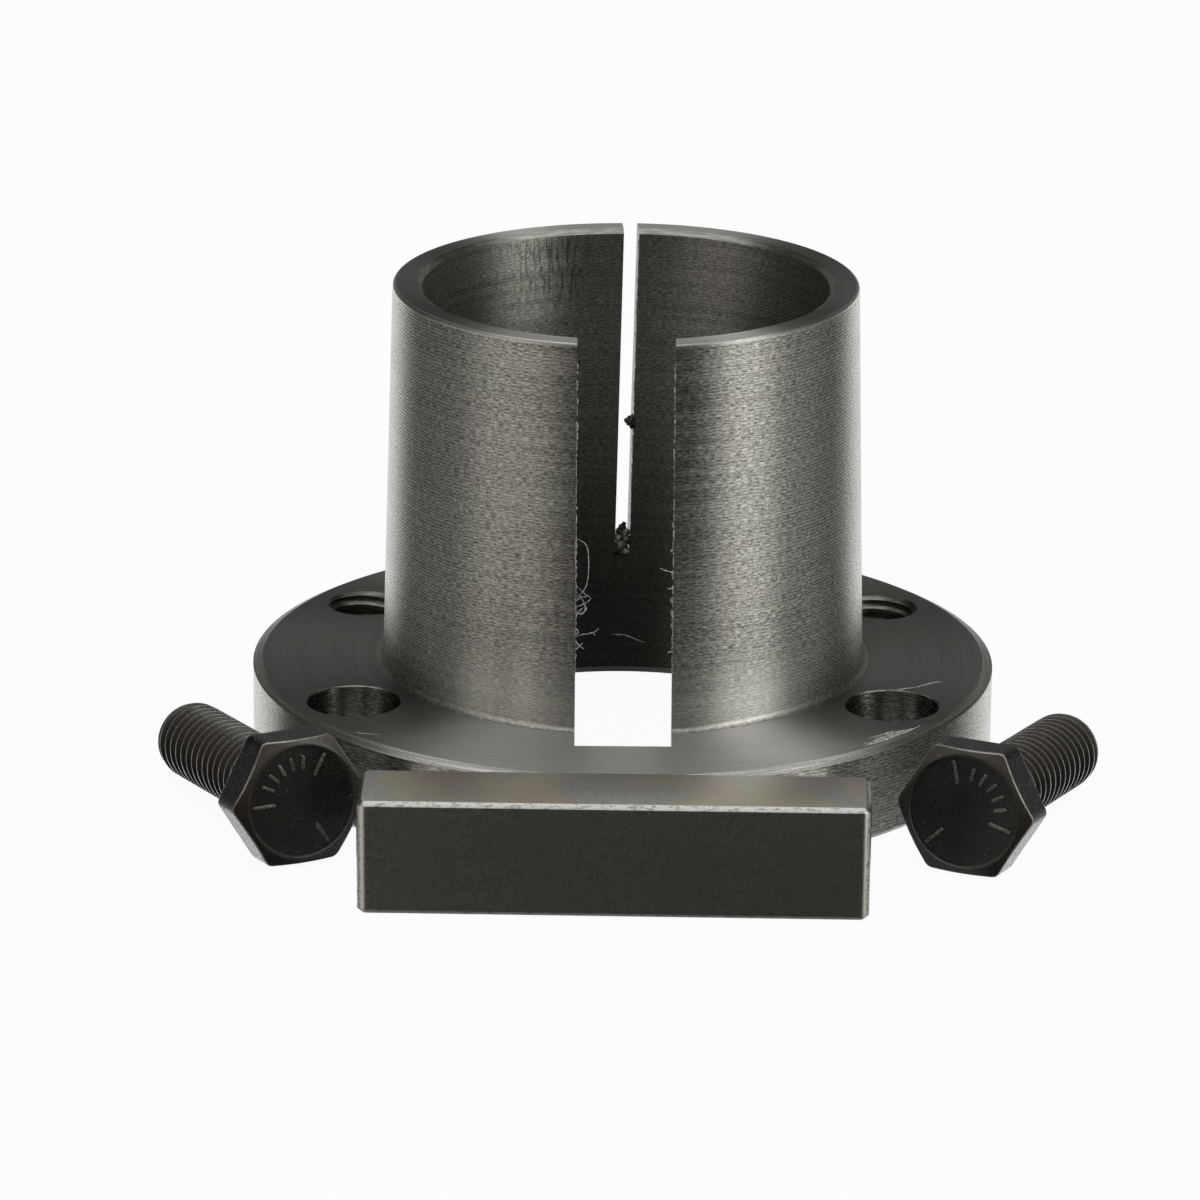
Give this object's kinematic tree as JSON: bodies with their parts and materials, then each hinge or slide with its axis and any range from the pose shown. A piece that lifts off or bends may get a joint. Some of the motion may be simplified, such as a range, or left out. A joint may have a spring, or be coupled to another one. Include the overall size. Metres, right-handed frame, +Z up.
{
  "type": "split taper bushing set",
  "caption": "Flanged split taper bushing with a keyway slot and a slit, with its loose drive key and hex cap screws laid out beside it.",
  "frame": {"origin": "on the bore axis, at the flange's outer face, which stands on the floor; it is also the middle of the layout's box at floor level", "axes": "+Z runs up along the bore to the sleeve's small end; the keyway opens towards -Y and the slit is on the +Y side; +X is to the right seen from the keyway side"},
  "size_m": [0.0959, 0.1017, 0.0492],
  "materials": {
    "turned_steel": "fine turned, lightly oiled",
    "key_steel": "cold drawn, satin",
    "black_oxide": "black oxide, oiled, semi-gloss"
  },
  "bodies": {
    "bushing": {"bushing": "turned_steel"},
    "key": {"key": "key_steel"},
    "cap_screw_left": {"cap_screw_left": "black_oxide"},
    "cap_screw_right": {"cap_screw_right": "black_oxide"},
    "cap_screw_rear": {"cap_screw_rear": "black_oxide"}
  },
  "joints": [
    {"name": "key_lift", "type": "slide", "parent": "bushing", "child": "key", "axis": [0, 0, 1], "range_m": [0, 0.06]},
    {"name": "cap_screw_left_lift", "type": "slide", "parent": "bushing", "child": "cap_screw_left", "axis": [0, 0, 1], "range_m": [0, 0.06]},
    {"name": "cap_screw_right_lift", "type": "slide", "parent": "bushing", "child": "cap_screw_right", "axis": [0, 0, 1], "range_m": [0, 0.06]},
    {"name": "cap_screw_rear_lift", "type": "slide", "parent": "bushing", "child": "cap_screw_rear", "axis": [0, 0, 1], "range_m": [0, 0.06]}
  ]
}
